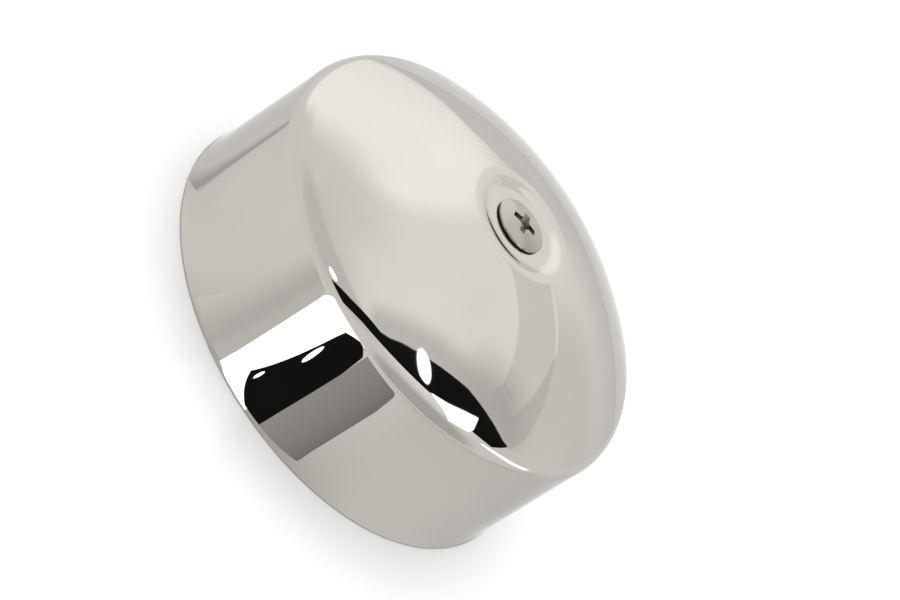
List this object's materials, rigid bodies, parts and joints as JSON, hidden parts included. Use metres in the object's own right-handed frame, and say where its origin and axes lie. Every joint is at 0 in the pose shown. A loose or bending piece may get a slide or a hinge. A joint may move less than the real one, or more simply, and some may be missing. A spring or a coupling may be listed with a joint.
{
  "type": "air filter housing",
  "caption": "Round chromed air filter housing for a small engine: domed drawn cover held by a central screw over a foam ring element and a rear intake base with fixing holes.",
  "frame": {"origin": "centre of the rear rim plane, which is also the mounting face of the gasket", "axes": "+Z along the housing's axis, from the engine towards the domed face; +X through the fixing holes"},
  "size_m": [0.0786, 0.0786, 0.0393],
  "materials": {
    "cover_chrome": "mirror-polished chrome plate",
    "screw_nickel": "bright nickel plate, slightly dulled",
    "fibre_black": "dull black fibre",
    "seal_rubber": "matt moulded rubber",
    "seal_felt": "dense felt",
    "ring_zinc": "bright zinc plate",
    "foam": "open-cell oiled foam",
    "screen_steel": "expanded steel, zinc plated",
    "base_black": "satin black baked paint",
    "gasket_paper": "compressed fibre sheet",
    "plate_zinc": "zinc plate with rolling marks",
    "brass_passivated": "yellow passivated",
    "horn_steel": "spun aluminium with turning marks",
    "rivet_steel": "plain aluminium",
    "spring_steel": "oiled spring steel"
  },
  "bodies": {
    "base": {"base_plate": "base_black", "ear_pads": "seal_rubber", "mount_gasket": "gasket_paper", "mount_plate": "plate_zinc", "bolt_sleeves": "brass_passivated", "intake_horn": "horn_steel", "bridge": "plate_zinc", "bridge_rivets": "rivet_steel", "cover_post": "brass_passivated", "post_washer": "spring_steel", "post_nut": "brass_passivated"},
    "element": {"foam": "foam", "inner_cage": "screen_steel", "outer_screen": "screen_steel", "bottom_ring": "ring_zinc", "top_ring": "ring_zinc", "bottom_gasket": "seal_rubber", "top_gasket": "seal_felt"},
    "cover": {"cover": "cover_chrome", "screw_seal": "seal_rubber"},
    "screw_carrier": {"head_washer": "fibre_black"},
    "screw": {"cover_screw": "screw_nickel"}
  },
  "joints": [
    {"name": "element_lift", "type": "slide", "parent": "base", "child": "element", "axis": [0, 0, 1], "range_m": [0, 0.045]},
    {"name": "cover_lift", "type": "slide", "parent": "element", "child": "cover", "axis": [0, 0, 1], "range_m": [0, 0.045]},
    {"name": "screw_rise", "type": "slide", "parent": "cover", "child": "screw_carrier", "axis": [0, 0, 1], "range_m": [0, 0.01]},
    {"name": "screw_turn", "type": "hinge", "parent": "screw_carrier", "child": "screw", "pos_m": [0, 0, 0.0382], "axis": [0, 0, 1], "range_deg": [0, 4500]}
  ],
  "couplings": [
    {"joint": "screw_turn", "follows": "screw_rise", "rad_per_m": 7854}
  ]
}
